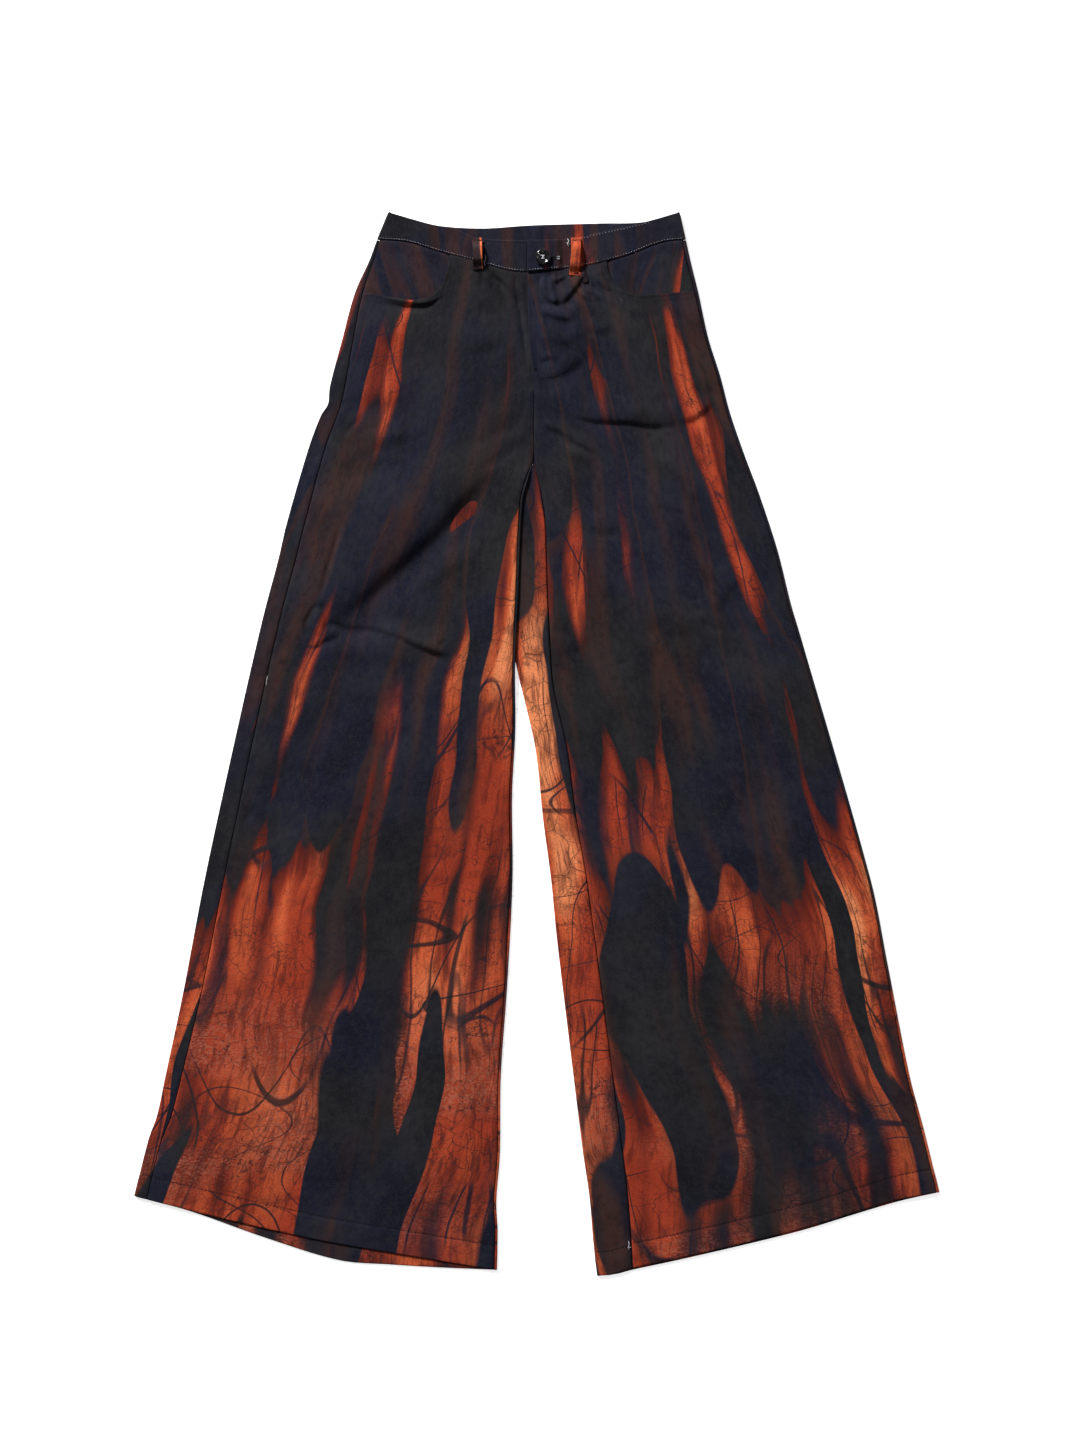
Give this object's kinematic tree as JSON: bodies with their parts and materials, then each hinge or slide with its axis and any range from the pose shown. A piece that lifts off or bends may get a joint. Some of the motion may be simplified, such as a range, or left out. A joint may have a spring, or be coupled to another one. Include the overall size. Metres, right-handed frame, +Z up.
{
  "type": "flared trousers",
  "caption": "Wide flared trousers with a plain waistband, a button, curved front pockets and turned hems, laid flat with the front up.",
  "frame": {"origin": "middle of the footprint, on the surface that the cloth lies on", "axes": "+Y from the hems to the waist, +Z up out of the front, +X towards the wearer's left leg"},
  "size_m": [0.8294, 1.096, 0.0113],
  "materials": {
    "printed_cloth": "smooth woven cotton, dyed and printed, with a low soft sheen",
    "facing_cloth": "smooth woven cotton, dyed and printed, matt",
    "loop_cloth": "smooth woven cotton, dyed and printed, matt",
    "button_plastic": "polished",
    "sewing_thread": "spun polyester sewing thread, light grey",
    "dark_thread": "spun polyester sewing thread, navy"
  },
  "bodies": {
    "root": {"back_right": "printed_cloth", "back_left": "printed_cloth", "front_right": "printed_cloth", "front_left": "printed_cloth", "pocket_facing_right": "facing_cloth", "pocket_facing_left": "facing_cloth", "waistband": "printed_cloth", "belt_loop_front_right": "loop_cloth", "belt_loop_front_left": "loop_cloth", "belt_loop_back_right": "loop_cloth", "belt_loop_back_centre": "loop_cloth", "belt_loop_back_left": "loop_cloth", "button": "button_plastic"}
  },
  "joints": []
}
